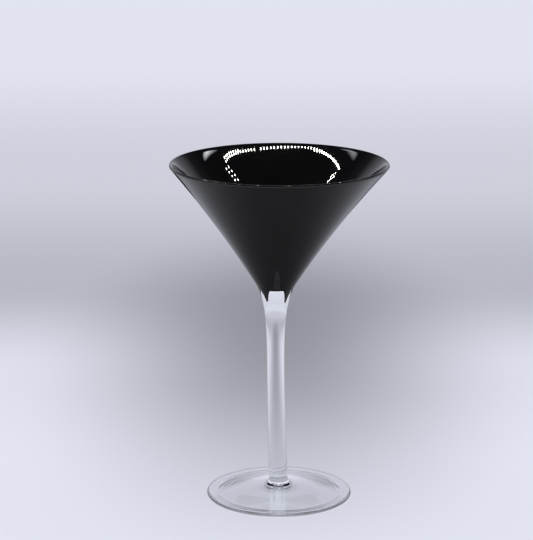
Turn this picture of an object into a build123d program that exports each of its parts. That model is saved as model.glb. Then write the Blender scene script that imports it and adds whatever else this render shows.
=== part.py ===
"""Martini glass in three fused pieces: an opaque black bowl, a clear solid stem and a clear foot.

The glass stands on its foot, with +Z up and the origin on the axis, at the plane it rests on.
Each piece is a body of revolution about Z, and the pieces meet face to face:

* the bowl is a slightly trumpet-shaped cone with a rounded lip, a round inner tip and a domed
  underside,
* the stem cups that underside in its flared top, narrows to a waist and ends in a flat face,
* the foot has a filleted hub under the stem, a gently sloping top, a round edge and a hollow
  underside that leaves a flat ring to stand on.

Lengths are in millimetres. Half profiles are drawn on the XZ plane and turned about Z.
"""

import os
from math import cos, radians, sin

from build123d import *

# Overall size
height = 178.0
rim_diameter = 113.0
foot_diameter = 76.0

# Bowl
lip_thickness = 1.6
lip_angle = 40.0  # wall at the lip, measured from the vertical
inner_tip_height = 115.5
inner_tip_radius = 12.0
inner_tip_angle = 36.0  # inner wall where the round tip ends, measured from the vertical

# Joint between bowl and stem
joint_height = 113.6
joint_diameter = 19.8
joint_wall_angle = 32.0  # bowl's wall just above the joint, measured from the vertical
underside_drop = 1.0  # how far the bowl's underside domes below the edge of the joint

# Stem
flare_angle = 26.0  # flared top just below the joint, measured from the vertical
flare_pull = 12.4  # how strongly the flare keeps to that angle
waist_height = 66.0
waist_diameter = 9.0
waist_pull = 22.0  # how strongly the flare keeps to the waist
stem_end_height = 9.5
stem_end_diameter = 9.6

# Foot
hub_fillet_radius = 3.5
top_slope_at_edge = 4.0  # top of the foot beside its edge, measured from the horizontal
edge_thickness = 2.2
rest_ring_inner_diameter = 64.0
hollow_depth = 4.8


def slope(angle):
    """Unit vector in the profile plane that points up and outwards, at an angle from the vertical."""
    return Vector(sin(radians(angle)), cos(radians(angle)))


# Points that two pieces share
joint_edge = Vector(joint_diameter / 2, joint_height)
underside_centre = Vector(0, joint_height - underside_drop)
stem_end_edge = Vector(stem_end_diameter / 2, stem_end_height)
stem_end_centre = Vector(0, stem_end_height)

# The lip is a half circle across the wall. Its highest and widest points give the rim its size.
lip_radius = lip_thickness / 2
lip_centre = Vector(rim_diameter / 2 - lip_radius, height - lip_radius)
lip_outer = lip_centre + slope(lip_angle + 90) * lip_radius
lip_middle = lip_centre + slope(lip_angle) * lip_radius
lip_inner = lip_centre - slope(lip_angle + 90) * lip_radius
inner_tip_centre = Vector(0, inner_tip_height)

with BuildPart() as bowl:
    with BuildSketch(Plane.XZ):
        with BuildLine():
            underside = TangentArc(underside_centre, joint_edge, tangent=(1, 0))
            outer_wall = TangentArc(joint_edge, lip_outer, tangent=slope(joint_wall_angle))
            lip = ThreePointArc(lip_outer, lip_middle, lip_inner)
            inner_tip = JernArc(
                start=inner_tip_centre,
                tangent=(1, 0),
                radius=inner_tip_radius,
                arc_size=90 - inner_tip_angle,
            )
            inner_wall = TangentArc(inner_tip @ 1, lip_inner, tangent=inner_tip % 1)
            bowl_axis = Line(inner_tip_centre, underside_centre)
        make_face()
    revolve(axis=Axis.Z)

waist = Vector(waist_diameter / 2, waist_height)
flare_end_pull = Vector(0, waist_pull)
shank_pull = Vector(0, (waist_height - stem_end_height) / 3)

with BuildPart() as stem:
    with BuildSketch(Plane.XZ):
        with BuildLine():
            cup = TangentArc(underside_centre, joint_edge, tangent=(1, 0))
            flare_start_pull = slope(flare_angle) * flare_pull
            flare = Bezier(joint_edge, joint_edge - flare_start_pull, waist + flare_end_pull, waist)
            shank = Bezier(waist, waist - shank_pull, stem_end_edge + shank_pull, stem_end_edge)
            end_face = Line(stem_end_edge, stem_end_centre)
            stem_axis = Line(stem_end_centre, underside_centre)
        make_face()
    revolve(axis=Axis.Z)

# The edge of the foot is half round, and its widest point gives the foot its size.
edge_radius = edge_thickness / 2
edge_centre = Vector(foot_diameter / 2 - edge_radius, edge_radius)
edge_top = edge_centre + slope(top_slope_at_edge) * edge_radius
edge_outer = edge_centre + Vector(edge_radius, 0)
edge_bottom = edge_centre - Vector(0, edge_radius)
rest_inner = Vector(rest_ring_inner_diameter / 2, 0)
hollow_centre = Vector(0, hollow_depth)
hub_edge = stem_end_edge + Vector(hub_fillet_radius, -hub_fillet_radius)

with BuildPart() as foot:
    with BuildSketch(Plane.XZ):
        with BuildLine():
            hub_top = Line(stem_end_centre, stem_end_edge)
            hub_fillet = TangentArc(stem_end_edge, hub_edge, tangent=(0, -1))
            sloping_top = TangentArc(edge_top, hub_edge, tangent=slope(top_slope_at_edge - 90))
            edge = ThreePointArc(edge_top, edge_outer, edge_bottom)
            rest_ring = Line(edge_bottom, rest_inner)
            hollow = TangentArc(hollow_centre, rest_inner, tangent=(1, 0))
            foot_axis = Line(hollow_centre, stem_end_centre)
        make_face()
    revolve(axis=Axis.Z)

bowl.part.label = "bowl"
stem.part.label = "stem"
foot.part.label = "foot"

os.makedirs("parts", exist_ok=True)
export_step(bowl.part, "parts/bowl.step")
export_step(stem.part, "parts/stem.step")
export_step(foot.part, "parts/foot.step")
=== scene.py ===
"""Martini glass: an opaque black bowl fused to a clear stem and a clear foot, on a plain pale stage.

The three pieces are turned shapes. Each has a half profile of arcs and curves, which is swept round
the glass's axis. That axis bows a little to one side, as a hand-drawn stem does.
All lengths are in metres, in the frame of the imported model.
"""

from math import atan2, cos, pi, radians, sin

import bmesh
import bpy
from bpy.props import FloatProperty, FloatVectorProperty, IntProperty, PointerProperty
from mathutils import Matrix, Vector


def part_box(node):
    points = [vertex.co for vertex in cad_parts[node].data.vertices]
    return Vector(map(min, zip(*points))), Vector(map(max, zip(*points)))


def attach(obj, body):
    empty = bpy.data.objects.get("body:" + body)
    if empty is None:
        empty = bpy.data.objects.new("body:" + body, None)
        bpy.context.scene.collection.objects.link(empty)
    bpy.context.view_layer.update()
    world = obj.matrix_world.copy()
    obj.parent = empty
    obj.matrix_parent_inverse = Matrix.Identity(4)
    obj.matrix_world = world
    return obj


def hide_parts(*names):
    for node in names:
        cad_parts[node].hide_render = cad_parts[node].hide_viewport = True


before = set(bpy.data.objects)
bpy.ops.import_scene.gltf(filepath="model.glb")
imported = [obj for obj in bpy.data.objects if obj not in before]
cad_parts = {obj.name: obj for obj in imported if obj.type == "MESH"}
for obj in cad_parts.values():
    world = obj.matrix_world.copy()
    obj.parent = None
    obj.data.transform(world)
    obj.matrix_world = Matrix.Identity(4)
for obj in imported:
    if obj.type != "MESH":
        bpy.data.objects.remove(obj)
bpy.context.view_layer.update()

bl_info = {
    "name": "Martini glass",
    "version": (1, 0, 0),
    "blender": (4, 5, 0),
    "location": "View3D > Sidebar > Martini glass",
    "description": "Makes a martini glass with a black bowl, a clear stem and a clear foot",
    "category": "Add Mesh",
}

MM = 0.001
BOWL_LOW, BOWL_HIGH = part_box("bowl")
STEM_LOW, STEM_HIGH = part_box("stem")
FOOT_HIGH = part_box("foot")[1]


# ---------------------------------------------------------------- properties


def length(name, description, default):
    """A size in metres."""
    return FloatProperty(name=name, description=description, default=default, unit="LENGTH", precision=4)


def angle(name, description, degrees):
    """An angle, given in degrees and kept in radians."""
    return FloatProperty(name=name, description=description, default=radians(degrees), subtype="ANGLE")


def share(name, description, default):
    """A plain number with no unit."""
    return FloatProperty(name=name, description=description, default=default, precision=4)


def colour(name, description, default):
    """A linear colour."""
    return FloatVectorProperty(name=name, description=description, default=default, subtype="COLOR", size=3)


class GlassSizes(bpy.types.PropertyGroup):
    """Sizes of the three pieces. Those that the frame knows take their defaults from it."""

    height: length("Height", "From the table to the rim", BOWL_HIGH.z)
    rim_radius: length("Rim radius", "Widest point of the lip", BOWL_HIGH.x)
    lip_thickness: length("Lip thickness", "Wall at the rim", 1.6 * MM)
    lip_angle: angle("Lip angle", "Wall at the lip, from the vertical", 40.0)
    inner_tip_height: length("Inner tip height", "Lowest point inside the bowl", 115.5 * MM)
    inner_tip_radius: length("Inner tip radius", "Rounding at the bottom of the bowl", 12.0 * MM)
    inner_tip_angle: angle("Inner tip angle", "Inner wall where its round tip ends, from the vertical", 36.0)
    joint_height: length("Joint height", "Edge where the bowl meets the stem", STEM_HIGH.z)
    joint_radius: length("Joint radius", "Edge where the bowl meets the stem", STEM_HIGH.x)
    joint_wall_angle: angle("Joint wall angle", "Bowl's wall above the joint, from the vertical", 32.0)
    underside_height: length("Underside height", "Lowest point of the bowl's underside", BOWL_LOW.z)
    flare_angle: angle("Flare angle", "Stem's flared top below the joint, from the vertical", 26.0)
    flare_pull: length("Flare pull", "How strongly the flare keeps to its angle", 12.4 * MM)
    waist_height: length("Waist height", "Where the stem is thinnest", 66.0 * MM)
    waist_radius: length("Waist radius", "Stem at its thinnest", 4.5 * MM)
    waist_pull: length("Waist pull", "How strongly the flare keeps to the waist", 22.0 * MM)
    stem_end_height: length("Stem end height", "Where the stem meets the foot", STEM_LOW.z)
    stem_end_radius: length("Stem end radius", "Stem where it meets the foot", 4.8 * MM)
    hub_fillet_radius: length("Hub fillet radius", "Fillet between the stem and the foot", 3.5 * MM)
    foot_radius: length("Foot radius", "Widest point of the foot's edge", FOOT_HIGH.x)
    foot_edge_slope: angle("Foot edge slope", "Top of the foot beside its edge, from the horizontal", 4.0)
    foot_edge_thickness: length("Foot edge thickness", "Foot at its round edge", 2.2 * MM)
    rest_ring_inner_radius: length("Rest ring inner radius", "Inside of the flat ring underneath", 32.0 * MM)
    hollow_depth: length("Hollow depth", "Rise of the foot's underside at its centre", 4.8 * MM)
    bow: length("Bow", "How far the glass bows sideways at half its height", 1.9 * MM)
    out_of_round: share("Out of round", "Unevenness of every radius, as a share of it", 0.0025)
    lap: length("Lap", "How far the stem's cup laps into the bowl's underside", 0.06 * MM)
    segments: IntProperty(name="Segments", description="Faces round each piece", default=256, min=16)


class GlassColours(bpy.types.PropertyGroup):
    """Colours and finishes."""

    black: colour("Black glass", "Body colour of the bowl", (0.0035, 0.0035, 0.0038))
    clear: colour("Clear glass", "Tint of the stem and the foot", (0.91, 0.92, 0.925))
    floor: colour("Floor", "Pale matt floor", (0.84, 0.84, 0.845))
    tent: colour("Tent", "White cloth all round the glass", (0.93, 0.945, 1.07))
    # Painted shade: the share of the glass colour kept in the lower part of the foot's round edge, which
    # draws a grey line there.
    edge_painted_shade: share("Edge grey", "Share of light that gets through the foot's long edge", 0.5)
    glass_index: share("Glass index", "Index of refraction of soda-lime glass", 1.51)


class StageSizes(bpy.types.PropertyGroup):
    """Camera, floor and light, placed from the middle of the foot."""

    camera_distance: length("Camera distance", "From the glass to the camera, level", 1.163)
    camera_height: length("Camera height", "Above the floor", 0.41167)
    camera_aside: length("Camera aside", "Sideways from the glass", -0.00664)
    camera_pitch: angle("Camera pitch", "Below level", 14.0)
    focal_length: share("Focal length", "In millimetres, on a 36 mm sensor", 154.4)
    floor_reach: length("Floor reach", "Half the width of the floor", 3.2)
    floor_gap: length("Floor gap", "Film of air under the foot", 0.1 * MM)
    lamp_height: length("Lamp height", "Lamp strips above the floor", 0.50)
    lamp_pitch: length("Lamp pitch", "From one lamp of a strip to the next", 13.7 * MM)
    lamp_size: length("Lamp size", "Side of one square lamp", 2.6 * MM)
    lamp_strength: share("Lamp strength", "Brightness of a lamp", 260.0)


# ---------------------------------------------------------------- profiles


def slope(from_vertical):
    """Unit vector in the profile plane that points up and outwards, at an angle from the vertical."""
    return Vector((sin(from_vertical), cos(from_vertical)))


def arc(start, tangent, end, steps=48):
    """Points of the circular arc that leaves start along tangent and reaches end."""
    chord = end - start
    along = tangent.normalized()
    across = Vector((-along.y, along.x))
    radius = chord.length_squared / (2 * chord.dot(across))
    centre = start + across * radius
    spoke = start - centre
    turn = 2 * atan2(chord.dot(across), chord.dot(along))
    points = []
    for step in range(steps + 1):
        part = turn * step / steps
        turned_x = spoke.x * cos(part) - spoke.y * sin(part)
        turned_y = spoke.x * sin(part) + spoke.y * cos(part)
        points.append(centre + Vector((turned_x, turned_y)))
    return points


def bezier(start, start_pull, end_pull, end, steps=64):
    """Points of a cubic curve from start to end."""
    points = []
    for step in range(steps + 1):
        t = step / steps
        u = 1 - t
        points.append(start * u**3 + start_pull * (3 * t * u * u) + end_pull * (3 * t * t * u) + end * t**3)
    return points


def line(start, end, steps=1):
    """Points of a straight line."""
    return [start.lerp(end, step / steps) for step in range(steps + 1)]


def underside_arc(size, lift=0.0):
    """The dome between bowl and stem, from the axis out to the joint's edge. lift raises its middle."""
    centre = Vector((0.0, size.underside_height))
    edge = Vector((size.joint_radius, size.joint_height))
    dome = arc(centre, Vector((1.0, 0.0)), edge, steps=24)
    return [point + Vector((0.0, lift * (1 - point.x / edge.x))) for point in dome]


def bowl_profile(size):
    """Runs of the bowl from the underside's centre, over the lip, to the inner tip."""
    lip_radius = size.lip_thickness / 2
    lip_centre = Vector((size.rim_radius - lip_radius, size.height - lip_radius))
    outwards = slope(size.lip_angle + pi / 2) * lip_radius
    lip_middle = lip_centre + slope(size.lip_angle) * lip_radius
    joint_edge = Vector((size.joint_radius, size.joint_height))
    tip = Vector((0.0, size.inner_tip_height))
    level = pi / 2 - size.inner_tip_angle
    tip_end = tip + Vector((sin(level), 1 - cos(level))) * size.inner_tip_radius
    outer_wall = arc(joint_edge, slope(size.joint_wall_angle), lip_centre + outwards)
    lip = arc(lip_centre + outwards, slope(size.lip_angle), lip_middle, steps=8)
    lip += arc(lip_middle, -outwards, lip_centre - outwards, steps=8)
    inner_tip = arc(tip, Vector((1.0, 0.0)), tip_end, steps=20)
    inner_wall = arc(tip_end, slope(size.inner_tip_angle), lip_centre - outwards)
    return [underside_arc(size), outer_wall, lip, inner_wall[::-1], inner_tip[::-1]]


def stem_profile(size):
    """Runs of the stem from the cup's centre, down the flare and the shank, to the end's centre."""
    joint_edge = Vector((size.joint_radius, size.joint_height))
    waist = Vector((size.waist_radius, size.waist_height))
    end = Vector((size.stem_end_radius, size.stem_end_height))
    waist_pull = Vector((0.0, size.waist_pull))
    shank_pull = Vector((0.0, (size.waist_height - size.stem_end_height) / 3))
    flare_start = joint_edge - slope(size.flare_angle) * size.flare_pull
    flare = bezier(joint_edge, flare_start, waist + waist_pull, waist)
    shank = bezier(waist, waist - shank_pull, end + shank_pull, end)
    return [underside_arc(size, size.lap), flare, shank, line(end, Vector((0.0, end.y)), steps=4)]


def foot_profile(size):
    """Runs of the foot from the hub's centre, over its top and edge, to the hollow's centre."""
    stem_end = Vector((size.stem_end_radius, size.stem_end_height))
    hub_edge = stem_end + Vector((size.hub_fillet_radius, -size.hub_fillet_radius))
    edge_radius = size.foot_edge_thickness / 2
    edge_centre = Vector((size.foot_radius - edge_radius, edge_radius))
    edge_top = edge_centre + slope(size.foot_edge_slope) * edge_radius
    edge_outer = edge_centre + Vector((edge_radius, 0.0))
    edge_bottom = edge_centre - Vector((0.0, edge_radius))
    rest_inner = Vector((size.rest_ring_inner_radius, 0.0))
    hollow_centre = Vector((0.0, size.hollow_depth))
    fillet = arc(stem_end, Vector((0.0, -1.0)), hub_edge, steps=20)
    top = arc(edge_top, slope(size.foot_edge_slope - pi / 2), hub_edge)
    edge = arc(edge_top, slope(size.foot_edge_slope + pi / 2), edge_outer, steps=12)
    edge += arc(edge_outer, Vector((0.0, -1.0)), edge_bottom, steps=12)
    hollow = arc(hollow_centre, Vector((1.0, 0.0)), rest_inner)
    ring = line(edge_bottom, rest_inner, steps=4)
    return [line(Vector((0.0, stem_end.y)), stem_end, steps=4), fillet, top[::-1], edge, ring, hollow[::-1]]


# ---------------------------------------------------------------- meshes


def glass_point(size, radius, turn, height):
    """A point of the glass, with its axis bowed and its rounds a little uneven."""
    part = height / size.height
    aside = -4 * size.bow * part * (1 - part)
    uneven = 1 + size.out_of_round * (cos(2 * turn + 0.6) + 0.5 * cos(3 * turn + 2.1) - 1.5)
    return Vector((aside + radius * uneven * cos(turn), radius * uneven * sin(turn), height))


def turned_piece(name, size, runs, materials, run_slots, sharp_between):
    """A closed mesh from runs of the half profile. Each run has its own material slot.

    sharp_between names the runs whose far end is a sharp edge.
    """
    mesh = bmesh.new()
    rings = []
    slots = []
    run_ends = []
    for run, slot_index in zip(runs, run_slots):
        for point in run:
            if rings and (point - rings[-1][0]).length < 1e-7:
                continue
            if rings:
                slots.append(slot_index)
            rings.append((point, ring_vertices(mesh, size, point)))
        run_ends.append(len(rings) - 1)
    for index, slot_index in enumerate(slots):
        strip_faces(mesh, rings[index][1], rings[index + 1][1], slot_index)
    for index in sharp_between:
        crease(rings[run_ends[index]][1])
    bmesh.ops.recalc_face_normals(mesh, faces=mesh.faces)
    data = bpy.data.meshes.new(name)
    mesh.to_mesh(data)
    mesh.free()
    for material in materials:
        data.materials.append(material)
    piece = bpy.data.objects.new(name, data)
    bpy.context.scene.collection.objects.link(piece)
    return piece


def ring_vertices(mesh, size, point):
    """One vertex on the axis, or a ring of them round it."""
    if point.x < 1e-7:
        return [mesh.verts.new(glass_point(size, 0.0, 0.0, point.y))]
    turns = [2 * pi * k / size.segments for k in range(size.segments)]
    return [mesh.verts.new(glass_point(size, point.x, turn, point.y)) for turn in turns]


def strip_faces(mesh, first, second, slot_index):
    """The faces between two rings. A ring of one vertex closes them to a fan."""
    count = max(len(first), len(second))
    for k in range(count):
        after = (k + 1) % count
        corners = [first[k % len(first)], first[after % len(first)]]
        corners += [second[after % len(second)], second[k % len(second)]]
        face = mesh.faces.new(list(dict.fromkeys(corners)))
        face.smooth = True
        face.material_index = slot_index


def crease(ring):
    """Marks a ring's edges sharp, where two surfaces meet at an angle."""
    for k, vertex in enumerate(ring):
        after = ring[(k + 1) % len(ring)]
        for edge in vertex.link_edges:
            if edge.other_vert(vertex) is after:
                edge.smooth = False


# ---------------------------------------------------------------- node groups and materials


def new_group(name, inputs, outputs):
    """An empty shader node group with float sockets. inputs maps each name to its default."""
    group = bpy.data.node_groups.new(name, "ShaderNodeTree")
    for socket_name, default in inputs.items():
        kind = "NodeSocketVector" if socket_name == "Vector" else "NodeSocketFloat"
        socket = group.interface.new_socket(socket_name, in_out="INPUT", socket_type=kind)
        if default is not None:
            socket.default_value = default
    for socket_name in outputs:
        group.interface.new_socket(socket_name, in_out="OUTPUT", socket_type="NodeSocketFloat")
    return group


def add(tree, kind, **values):
    """Adds a node and sets its properties and the defaults of its inputs, by name."""
    node = tree.nodes.new(kind)
    for key, value in values.items():
        name = key.replace("_", " ")
        if hasattr(node, key):
            setattr(node, key, value)
        else:
            node.inputs[name].default_value = value
    return node


def fire_polish_group():
    """Slow waves that a flame leaves in glass, and the faint smears of handling."""
    group = bpy.data.node_groups.get("fire_polish")
    if group:
        return group
    inputs = {"Vector": None, "Wave Scale": 60.0, "Cord Stretch": 1.0, "Smear Scale": 40.0}
    group = new_group("fire_polish", inputs, ["Height", "Smear"])
    source = group.nodes.new("NodeGroupInput")
    result = group.nodes.new("NodeGroupOutput")
    stretch = add(group, "ShaderNodeCombineXYZ", X=1.0, Y=1.0)
    squeezed = add(group, "ShaderNodeVectorMath", operation="MULTIPLY")
    waves = add(group, "ShaderNodeTexNoise", Detail=2.0, Roughness=0.4)
    smears = add(group, "ShaderNodeTexNoise", Detail=5.0, Roughness=0.6, Distortion=1.2)
    patches = add(group, "ShaderNodeMapRange", From_Min=0.52, From_Max=0.78)
    link = group.links.new
    link(source.outputs["Cord Stretch"], stretch.inputs["Z"])
    link(source.outputs["Vector"], squeezed.inputs[0])
    link(stretch.outputs[0], squeezed.inputs[1])
    link(squeezed.outputs[0], waves.inputs["Vector"])
    link(source.outputs["Wave Scale"], waves.inputs["Scale"])
    link(source.outputs["Vector"], smears.inputs["Vector"])
    link(source.outputs["Smear Scale"], smears.inputs["Scale"])
    link(smears.outputs[0], patches.inputs["Value"])
    link(waves.outputs[0], result.inputs["Height"])
    link(patches.outputs[0], result.inputs["Smear"])
    return group


def dust_group():
    """Small specks, each at its own place and size."""
    group = bpy.data.node_groups.get("dust")
    if group:
        return group
    group = new_group("dust", {"Vector": None, "Scale": 900.0, "Amount": 0.1}, ["Speck"])
    source = group.nodes.new("NodeGroupInput")
    result = group.nodes.new("NodeGroupOutput")
    cells = add(group, "ShaderNodeTexVoronoi", feature="F1")
    chance = add(group, "ShaderNodeTexWhiteNoise")
    reach = add(group, "ShaderNodeMath", operation="MULTIPLY")
    chosen = add(group, "ShaderNodeMath", operation="LESS_THAN")
    near = add(group, "ShaderNodeMath", operation="LESS_THAN")
    both = add(group, "ShaderNodeMath", operation="MULTIPLY")
    link = group.links.new
    link(source.outputs["Vector"], cells.inputs["Vector"])
    link(source.outputs["Scale"], cells.inputs["Scale"])
    link(cells.outputs["Position"], chance.inputs["Vector"])
    link(chance.outputs["Value"], chosen.inputs[0])
    link(source.outputs["Amount"], chosen.inputs[1])
    link(chance.outputs["Value"], reach.inputs[0])
    reach.inputs[1].default_value = 2.0
    link(cells.outputs["Distance"], near.inputs[0])
    link(reach.outputs[0], near.inputs[1])
    link(chosen.outputs[0], both.inputs[0])
    link(near.outputs[0], both.inputs[1])
    link(both.outputs[0], result.inputs["Speck"])
    return group


def new_material(name):
    """A material with its Principled shader, its object coordinates and its tree."""
    material = bpy.data.materials.new(name)
    material.use_nodes = True
    tree = material.node_tree
    shader = tree.nodes["Principled BSDF"]
    place = tree.nodes.new("ShaderNodeTexCoord")
    return material, tree, shader, place.outputs["Object"]


def place_group(tree, group, place, **values):
    """Puts a node group in a material, fed with its coordinates and its own values."""
    node = tree.nodes.new("ShaderNodeGroup")
    node.node_tree = group
    tree.links.new(place, node.inputs["Vector"])
    for key, value in values.items():
        node.inputs[key.replace("_", " ")].default_value = value
    return node


def range_of(tree, mask, low, high):
    """Maps a mask from 0 to 1 onto low to high."""
    node = add(tree, "ShaderNodeMapRange", To_Min=low, To_Max=high)
    tree.links.new(mask, node.inputs["Value"])
    return node.outputs[0]


def tinted(tree, mask, first, second):
    """A colour that goes from first to second with a mask."""
    node = add(tree, "ShaderNodeMix", data_type="RGBA")
    node.inputs[6].default_value = (*first, 1.0)
    node.inputs[7].default_value = (*second, 1.0)
    tree.links.new(mask, node.inputs["Factor"])
    return node.outputs[2]


def multiplied(tree, first, second):
    """The product of two values."""
    node = add(tree, "ShaderNodeMath", operation="MULTIPLY")
    tree.links.new(first, node.inputs[0])
    tree.links.new(second, node.inputs[1])
    return node.outputs[0]


def larger(tree, first, second):
    """The larger of two values."""
    node = add(tree, "ShaderNodeMath", operation="MAXIMUM")
    tree.links.new(first, node.inputs[0])
    tree.links.new(second, node.inputs[1])
    return node.outputs[0]


def scaled(tree, body, amount):
    """A colour times a value."""
    node = add(tree, "ShaderNodeVectorMath", operation="SCALE")
    tree.links.new(body, node.inputs[0])
    tree.links.new(amount, node.inputs["Scale"])
    return node.outputs[0]


def ramp(tree, value, low, high, stops):
    """A smooth grey ramp over low to high. Each stop is a place from 0 to 1 and a brightness."""
    spread = add(tree, "ShaderNodeMapRange")
    spread.inputs["From Min"].default_value = low
    spread.inputs["From Max"].default_value = high
    tree.links.new(value, spread.inputs["Value"])
    node = tree.nodes.new("ShaderNodeValToRGB")
    node.color_ramp.interpolation = "EASE"
    elements = node.color_ramp.elements
    while len(elements) < len(stops):
        elements.new(0.5)
    for element, (place, brightness) in zip(elements, stops):
        element.position = place
        element.color = (brightness, brightness, brightness, 1.0)
    tree.links.new(spread.outputs[0], node.inputs[0])
    return node.outputs[0]


def raised(tree, height, distance, strength, shader):
    """Feeds a height to the shader's normal through a bump."""
    bump = add(tree, "ShaderNodeBump", Distance=distance, Strength=strength)
    tree.links.new(height, bump.inputs["Height"])
    tree.links.new(bump.outputs[0], shader.inputs["Normal"])


def black_glass(colours):
    """Opaque black glass: near-black body, mirror gloss, slow waves and a few specks of dust."""
    material, tree, shader, place = new_material("black_glass")
    waves = {"Wave_Scale": 26.0, "Cord_Stretch": 0.45, "Smear_Scale": 26.0}
    polish = place_group(tree, fire_polish_group(), place, **waves)
    dust = place_group(tree, dust_group(), place, Scale=700.0, Amount=0.035)
    smeared_black = [part * 1.6 for part in colours.black]
    body = tinted(tree, polish.outputs["Smear"], colours.black, smeared_black)
    dusted = tinted(tree, dust.outputs["Speck"], (0.0, 0.0, 0.0), (0.02, 0.02, 0.02))
    total = add(tree, "ShaderNodeMix", data_type="RGBA", blend_type="ADD")
    total.inputs["Factor"].default_value = 1.0
    tree.links.new(body, total.inputs[6])
    tree.links.new(dusted, total.inputs[7])
    tree.links.new(total.outputs[2], shader.inputs["Base Color"])
    tree.links.new(range_of(tree, polish.outputs["Smear"], 0.012, 0.035), shader.inputs["Roughness"])
    raised(tree, polish.outputs["Height"], 0.1 * MM, 0.1, shader)
    shader.inputs["IOR"].default_value = colours.glass_index
    shader.inputs["Specular Tint"].default_value = (1.0, 0.985, 0.88, 1.0)
    return material


def between(tree, value, low, high, at_low, at_high):
    """Maps a length that runs from low to high onto at_low to at_high, and keeps within them."""
    node = add(tree, "ShaderNodeMapRange", To_Min=at_low, To_Max=at_high)
    node.inputs["From Min"].default_value = low
    node.inputs["From Max"].default_value = high
    tree.links.new(value, node.inputs["Value"])
    return node.outputs[0]


def painted_edge_shade(tree, place, colours, edge_start):
    """Painted shade: a factor on the glass colour, below 1 in the lower part of the foot's round edge and 1
    elsewhere.
    """
    flat = add(tree, "ShaderNodeVectorMath", operation="MULTIPLY")
    flat.inputs[1].default_value = (1.0, 1.0, 0.0)
    tree.links.new(place, flat.inputs[0])
    distance = add(tree, "ShaderNodeVectorMath", operation="LENGTH")
    tree.links.new(flat.outputs[0], distance.inputs[0])
    parts = tree.nodes.new("ShaderNodeSeparateXYZ")
    tree.links.new(place, parts.inputs[0])
    inner = edge_start - 0.2 * MM
    outer = edge_start + 0.2 * MM
    from_axis = between(tree, distance.outputs["Value"], inner, outer, 1.0, colours.edge_painted_shade)
    from_floor = between(tree, parts.outputs["Z"], 1.5 * MM, 1.9 * MM, 0.0, 1.0)
    return larger(tree, from_axis, from_floor)


def clear_glass(colours, name, cord_stretch, edge_start=None):
    """Clear glass, faintly uneven, with waves drawn along or round it.

    edge_start is how far from the axis the foot's round edge begins, where painted shade greys the glass.
    The stem has none.
    """
    material, tree, shader, place = new_material(name)
    waves = {"Wave_Scale": 90.0, "Cord_Stretch": cord_stretch, "Smear_Scale": 30.0}
    polish = place_group(tree, fire_polish_group(), place, **waves)
    smeared_clear = [part * 0.985 for part in colours.clear]
    body = tinted(tree, polish.outputs["Smear"], colours.clear, smeared_clear)
    # Painted shade: the foot's round edge gets a darker glass colour.
    if edge_start:
        body = scaled(tree, body, painted_edge_shade(tree, place, colours, edge_start))
    tree.links.new(body, shader.inputs["Base Color"])
    tree.links.new(range_of(tree, polish.outputs["Smear"], 0.0, 0.012), shader.inputs["Roughness"])
    raised(tree, polish.outputs["Height"], 0.15 * MM, 0.25, shader)
    shader.inputs["IOR"].default_value = colours.glass_index
    shader.inputs["Transmission Weight"].default_value = 1.0
    return material


def fused_black(colours):
    """Black glass where clear glass is melted on to it, so that it has no gloss of its own."""
    material, _, shader, _ = new_material("fused_black")
    shader.inputs["Base Color"].default_value = (*colours.black, 1.0)
    shader.inputs["Specular IOR Level"].default_value = 0.0
    return material


def fused_joint():
    """The face where two pieces are melted together, which can't be seen in real glass."""
    material = bpy.data.materials.get("fused_joint")
    if material:
        return material
    material, _, shader, _ = new_material("fused_joint")
    shader.inputs["Alpha"].default_value = 0.0
    return material


# ---------------------------------------------------------------- stage


def only_mirrored(tree):
    """1 for what a surface reflects, 0 for what is seen directly or through the clear glass."""
    path = tree.nodes.new("ShaderNodeLightPath")
    node = add(tree, "ShaderNodeMath", operation="SUBTRACT", use_clamp=True)
    tree.links.new(path.outputs["Is Glossy Ray"], node.inputs[0])
    tree.links.new(path.outputs["Is Transmission Ray"], node.inputs[1])
    return node.outputs[0]


def dim_patch(tree, place):
    """A soft oval shade on the floor, behind the glass."""
    centred = add(tree, "ShaderNodeMapping")
    centred.inputs["Location"].default_value = (0.0, -0.265 / 0.40, 0.0)
    centred.inputs["Scale"].default_value = (1 / 0.172, 1 / 0.40, 1.0)
    tree.links.new(place, centred.inputs["Vector"])
    patch = add(tree, "ShaderNodeTexGradient", gradient_type="SPHERICAL")
    tree.links.new(centred.outputs[0], patch.inputs["Vector"])
    soft = add(tree, "ShaderNodeMapRange", interpolation_type="SMOOTHSTEP", To_Min=1.0, To_Max=0.445)
    tree.links.new(patch.outputs["Fac"], soft.inputs["Value"])
    return soft.outputs[0]


def bounced_share(tree):
    """0 for what is seen directly, 1 for what a surface reflects, 0.55 for what bounces in clear glass."""
    path = tree.nodes.new("ShaderNodeLightPath")
    bounced = add(tree, "ShaderNodeMath", operation="MINIMUM")
    bounced.inputs[1].default_value = 1.0
    tree.links.new(path.outputs["Glossy Depth"], bounced.inputs[0])
    return larger(tree, range_of(tree, bounced.outputs[0], 0.0, 0.55), only_mirrored(tree))


def dim_pool(tree, place):
    """A round shade under the glass, which shows only in what bounces."""
    distance = add(tree, "ShaderNodeVectorMath", operation="LENGTH")
    tree.links.new(place, distance.inputs[0])
    pool = add(tree, "ShaderNodeMapRange", interpolation_type="SMOOTHSTEP", To_Min=0.26, To_Max=0.85)
    pool.inputs["From Min"].default_value = 0.04
    pool.inputs["From Max"].default_value = 0.30
    tree.links.new(distance.outputs["Value"], pool.inputs["Value"])
    dimmed = add(tree, "ShaderNodeMix")
    dimmed.inputs[2].default_value = 1.0
    tree.links.new(bounced_share(tree), dimmed.inputs[0])
    tree.links.new(pool.outputs[0], dimmed.inputs[3])
    return dimmed.outputs[0]


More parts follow.
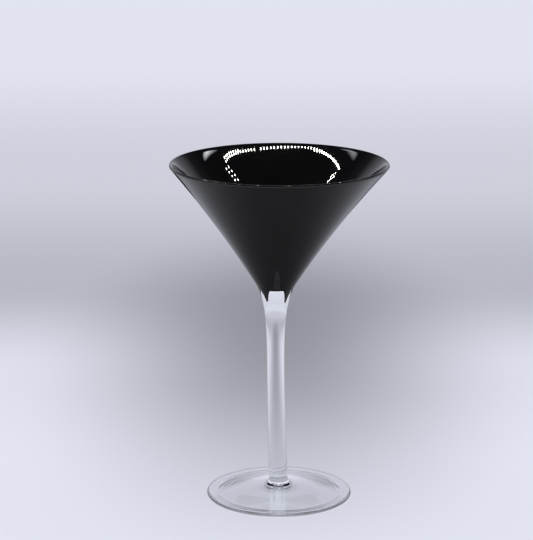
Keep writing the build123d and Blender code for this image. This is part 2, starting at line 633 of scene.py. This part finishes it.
def floor_material(colours):
    """Pale matt floor, with a soft dim band across it and dim places behind and under the glass."""
    material, tree, shader, place = new_material("pale_floor")
    parts = tree.nodes.new("ShaderNodeSeparateXYZ")
    tree.links.new(place, parts.inputs[0])
    band_stops = ((0.02, 1.0), (0.11, 0.93), (0.22, 0.60), (0.42, 0.78), (0.75, 0.955))
    band = ramp(tree, parts.outputs["Y"], 0.0, 2.0, band_stops)
    behind = multiplied(tree, band, dim_patch(tree, place))
    brightness = multiplied(tree, behind, dim_pool(tree, place))
    shade = add(tree, "ShaderNodeVectorMath", operation="SCALE")
    shade.inputs[0].default_value = colours.floor
    tree.links.new(brightness, shade.inputs["Scale"])
    tree.links.new(shade.outputs[0], shader.inputs["Base Color"])
    shader.inputs["Roughness"].default_value = 0.9
    shader.inputs["Specular IOR Level"].default_value = 0.0
    return material


def make_floor(stage, colours):
    """A wide flat floor, a hair under the foot."""
    reach = stage.floor_reach
    corners = [(-reach, -reach), (reach, -reach), (reach, reach), (-reach, reach)]
    data = bpy.data.meshes.new("floor")
    data.from_pydata([(x, y, -stage.floor_gap) for x, y in corners], [], [(0, 1, 2, 3)])
    data.materials.append(floor_material(colours))
    floor = bpy.data.objects.new("floor", data)
    bpy.context.scene.collection.objects.link(floor)


def lamp_material(stage):
    """A small bright lamp."""
    material = bpy.data.materials.new("lamp")
    material.use_nodes = True
    shader = material.node_tree.nodes["Principled BSDF"]
    shader.inputs["Emission Color"].default_value = (1.0, 1.0, 1.0, 1.0)
    shader.inputs["Emission Strength"].default_value = stage.lamp_strength
    return material


def along(points, pitch):
    """Places every pitch along a bent line."""
    places = []
    left_over = 0.0
    for start, end in zip(points, points[1:]):
        run = (end - start).length
        while left_over <= run:
            places.append(start.lerp(end, left_over / run))
            left_over += pitch
        left_over -= run
    return places


def lamp_places(stage):
    """Where the lamps hang: a long strip bent over the glass, and two short ones at each side."""
    middle = 0.016
    dead_lamp = 0.086
    bent = []
    for step in range(121):
        x = 0.2485 - 0.540 * step / 120
        curved = min(x - middle, 0.185)
        bent.append(Vector((x, -0.0648 + 2.15 * curved * (2 * (x - middle) - curved))))
    places = []
    for place in along(bent, stage.lamp_pitch):
        if abs(place.x - dead_lamp) < stage.lamp_pitch / 2:
            continue
        spread = max(0.0, abs(place.x - middle) - 0.15) * 0.022
        places.append(place - Vector((0.0, spread)))
        if spread > 0.0:
            places.append(place + Vector((-0.004, spread)))
    sides = (
        ((0.272, 0.057), (0.259, 0.012)),
        ((0.253, 0.038), (0.241, -0.004)),
        ((-0.302, 0.127), (-0.288, 0.084)),
        ((-0.294, 0.124), (-0.283, 0.090)),
    )
    for start, end in sides:
        places += along([Vector(start), Vector(end)], stage.lamp_pitch)
    return places


def make_lamps(stage):
    """Square lamps that face down. The camera doesn't see them; the glass reflects them."""
    half = stage.lamp_size / 2
    vertices = []
    faces = []
    for x, y in lamp_places(stage):
        first = len(vertices)
        for corner_x, corner_y in ((-half, -half), (-half, half), (half, half), (half, -half)):
            vertices.append((x + corner_x, y + corner_y, stage.lamp_height))
        faces.append((first, first + 1, first + 2, first + 3))
    data = bpy.data.meshes.new("lamp_strips")
    data.from_pydata(vertices, [], faces)
    data.materials.append(lamp_material(stage))
    lamps = bpy.data.objects.new("lamp_strips", data)
    bpy.context.scene.collection.objects.link(lamps)
    lamps.visible_camera = False
    lamps.visible_diffuse = False


def soft_light_material(name, strength):
    """A light that fades out towards its rim."""
    material, tree, shader, place = new_material(name)
    fade = add(tree, "ShaderNodeTexGradient", gradient_type="SPHERICAL")
    tree.links.new(place, fade.inputs["Vector"])
    glow = range_of(tree, fade.outputs["Fac"], 0.0, strength)
    tree.links.new(glow, shader.inputs["Emission Strength"])
    shader.inputs["Emission Color"].default_value = (0.84, 0.88, 1.0, 1.0)
    shader.inputs["Base Color"].default_value = (0.0, 0.0, 0.0, 1.0)
    shader.inputs["Specular IOR Level"].default_value = 0.0
    return material


def make_side_lights(stage):
    """A long soft light at each side of the bowl. The camera doesn't see them either."""
    corners = [(cos(2 * pi * k / 48), sin(2 * pi * k / 48), 0.0) for k in range(48)]
    lights = (
        ("right_light", (0.303, 0.154), 56.0, (0.095, 0.007), 15.0),
        ("left_light", (-0.269, 0.168), 123.0, (0.10, 0.012), 7.0),
    )
    for name, (x, y), turn, (long_half, short_half), strength in lights:
        data = bpy.data.meshes.new(name)
        data.from_pydata(corners, [], [tuple(range(48))])
        data.materials.append(soft_light_material(name, strength))
        light = bpy.data.objects.new(name, data)
        light.location = (x, y, stage.lamp_height)
        light.rotation_euler = (0.0, 0.0, radians(turn))
        light.scale = (long_half, short_half, 1.0)
        light.visible_camera = False
        light.visible_diffuse = False
        bpy.context.scene.collection.objects.link(light)


def make_flags(size):
    """Two black flags, where the other glasses of a set would stand. The camera doesn't see them."""
    material, _, shader, _ = new_material("black_flag")
    shader.inputs["Base Color"].default_value = (0.01, 0.01, 0.01, 1.0)
    shader.inputs["Specular IOR Level"].default_value = 0.0
    for name, x, y in (("left_flag", -0.076, 0.127), ("right_flag", 0.063, 0.127)):
        flag = turned_piece(name, size, bowl_profile(size), [material], [0] * 5, [])
        flag.location = (x, y, 0.0)
        flag.visible_camera = False
        flag.visible_diffuse = False
        flag.visible_shadow = False


def make_tent(colours):
    """White cloth all round, dimmer towards the open front. In gloss it is dark overhead."""
    world = bpy.data.worlds.new("tent")
    bpy.context.scene.world = world
    world.use_nodes = True
    tree = world.node_tree
    background = tree.nodes["Background"]
    direction = tree.nodes.new("ShaderNodeTexCoord")
    parts = tree.nodes.new("ShaderNodeSeparateXYZ")
    tree.links.new(direction.outputs["Generated"], parts.inputs[0])
    path = tree.nodes.new("ShaderNodeLightPath")
    clear_stops = ((0.0, 0.8), (0.1, 0.85), (0.3, 0.95), (1.0, 1.0))
    through = ramp(tree, parts.outputs["Z"], 0.0, 1.0, clear_stops)
    front = add(tree, "ShaderNodeMapRange", From_Min=-1.0, From_Max=0.0, To_Min=0.5, To_Max=1.0)
    tree.links.new(parts.outputs["Y"], front.inputs["Value"])
    seen = multiplied(tree, through, front.outputs[0])
    mirror_stops = ((0.0, 1.0), (0.1, 0.85), (0.24, 0.55), (0.3, 0.45), (0.47, 0.07), (0.6, 0.03))
    overhead = ramp(tree, parts.outputs["Z"], 0.0, 1.0, mirror_stops)
    mirrored = add(tree, "ShaderNodeMix")
    tree.links.new(only_mirrored(tree), mirrored.inputs[0])
    tree.links.new(seen, mirrored.inputs[2])
    tree.links.new(overhead, mirrored.inputs[3])
    lit = add(tree, "ShaderNodeMix")
    tree.links.new(path.outputs["Is Diffuse Ray"], lit.inputs[0])
    tree.links.new(mirrored.outputs[0], lit.inputs[2])
    lit.inputs[3].default_value = 1.04
    tree.links.new(lit.outputs[0], background.inputs["Strength"])
    background.inputs["Color"].default_value = (*colours.tent, 1.0)


def let_light_bounce(paths):
    """Light passes to and fro in thick clear glass many times before it leaves it."""
    paths.max_bounces = 32
    paths.glossy_bounces = 32
    paths.transmission_bounces = 32


def make_camera(stage):
    """A long lens that looks a little down on the glass."""
    data = bpy.data.cameras.new("camera")
    data.lens = stage.focal_length
    data.clip_start = 0.05
    camera = bpy.data.objects.new("camera", data)
    camera.location = (stage.camera_aside, -stage.camera_distance, stage.camera_height)
    camera.rotation_euler = (pi / 2 - stage.camera_pitch, 0.0, 0.0)
    bpy.context.scene.collection.objects.link(camera)
    bpy.context.scene.camera = camera


def let_light_through(piece):
    """Clear glass hardly shades the floor, so it casts no shadow."""
    piece.visible_shadow = False
    piece.visible_diffuse = False


# ---------------------------------------------------------------- operators and panel


class MARTINI_OT_bowl(bpy.types.Operator):
    """Makes the black bowl"""

    bl_idname = "martini.bowl"
    bl_label = "Bowl"

    def execute(self, context):
        size = context.scene.martini_sizes
        colours = context.scene.martini_colours
        materials = [black_glass(colours), fused_black(colours)]
        bowl = turned_piece("bowl_glass", size, bowl_profile(size), materials, [1, 0, 0, 0, 0], [0])
        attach(bowl, "root")
        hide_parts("bowl")
        return {"FINISHED"}


class MARTINI_OT_stem(bpy.types.Operator):
    """Makes the clear stem"""

    bl_idname = "martini.stem"
    bl_label = "Stem"

    def execute(self, context):
        size = context.scene.martini_sizes
        materials = [clear_glass(context.scene.martini_colours, "clear_stem_glass", 0.08), fused_joint()]
        stem = turned_piece("stem_glass", size, stem_profile(size), materials, [1, 0, 0, 1], [0, 2])
        let_light_through(stem)
        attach(stem, "root")
        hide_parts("stem")
        return {"FINISHED"}


class MARTINI_OT_foot(bpy.types.Operator):
    """Makes the clear foot"""

    bl_idname = "martini.foot"
    bl_label = "Foot"

    def execute(self, context):
        size = context.scene.martini_sizes
        edge_start = size.foot_radius - size.foot_edge_thickness / 2
        foot_glass = clear_glass(context.scene.martini_colours, "clear_foot_glass", 1.0, edge_start)
        materials = [foot_glass, fused_joint()]
        foot = turned_piece("foot_glass", size, foot_profile(size), materials, [1, 0, 0, 0, 0, 0], [0, 4])
        let_light_through(foot)
        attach(foot, "root")
        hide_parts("foot")
        return {"FINISHED"}


class MARTINI_OT_stage(bpy.types.Operator):
    """Makes the floor, the light and the camera"""

    bl_idname = "martini.stage"
    bl_label = "Stage"

    def execute(self, context):
        stage = context.scene.martini_stage
        colours = context.scene.martini_colours
        make_floor(stage, colours)
        make_lamps(stage)
        make_side_lights(stage)
        make_flags(context.scene.martini_sizes)
        make_tent(colours)
        make_camera(stage)
        context.scene.view_settings.view_transform = "Standard"
        let_light_bounce(context.scene.cycles)
        return {"FINISHED"}


class MARTINI_PT_panel(bpy.types.Panel):
    """Lists the pieces of the glass and its stage"""

    bl_label = "Martini glass"
    bl_space_type = "VIEW_3D"
    bl_region_type = "UI"
    bl_category = "Martini glass"

    def draw(self, context):
        for operator in (MARTINI_OT_bowl, MARTINI_OT_stem, MARTINI_OT_foot, MARTINI_OT_stage):
            self.layout.operator(operator.bl_idname)


CLASSES = (
    GlassSizes,
    GlassColours,
    StageSizes,
    MARTINI_OT_bowl,
    MARTINI_OT_stem,
    MARTINI_OT_foot,
    MARTINI_OT_stage,
    MARTINI_PT_panel,
)


def register():
    """Gives the scene its settings, and Blender the operators and the panel."""
    for cls in CLASSES:
        bpy.utils.register_class(cls)
    bpy.types.Scene.martini_sizes = PointerProperty(type=GlassSizes)
    bpy.types.Scene.martini_colours = PointerProperty(type=GlassColours)
    bpy.types.Scene.martini_stage = PointerProperty(type=StageSizes)


def unregister():
    """Takes the settings, the operators and the panel away again."""
    del bpy.types.Scene.martini_stage
    del bpy.types.Scene.martini_colours
    del bpy.types.Scene.martini_sizes
    for cls in reversed(CLASSES):
        bpy.utils.unregister_class(cls)


def main():
    """Makes everything."""
    register()
    bpy.ops.martini.bowl()
    bpy.ops.martini.stem()
    bpy.ops.martini.foot()
    bpy.ops.martini.stage()


if __name__ == "__main__":
    main()
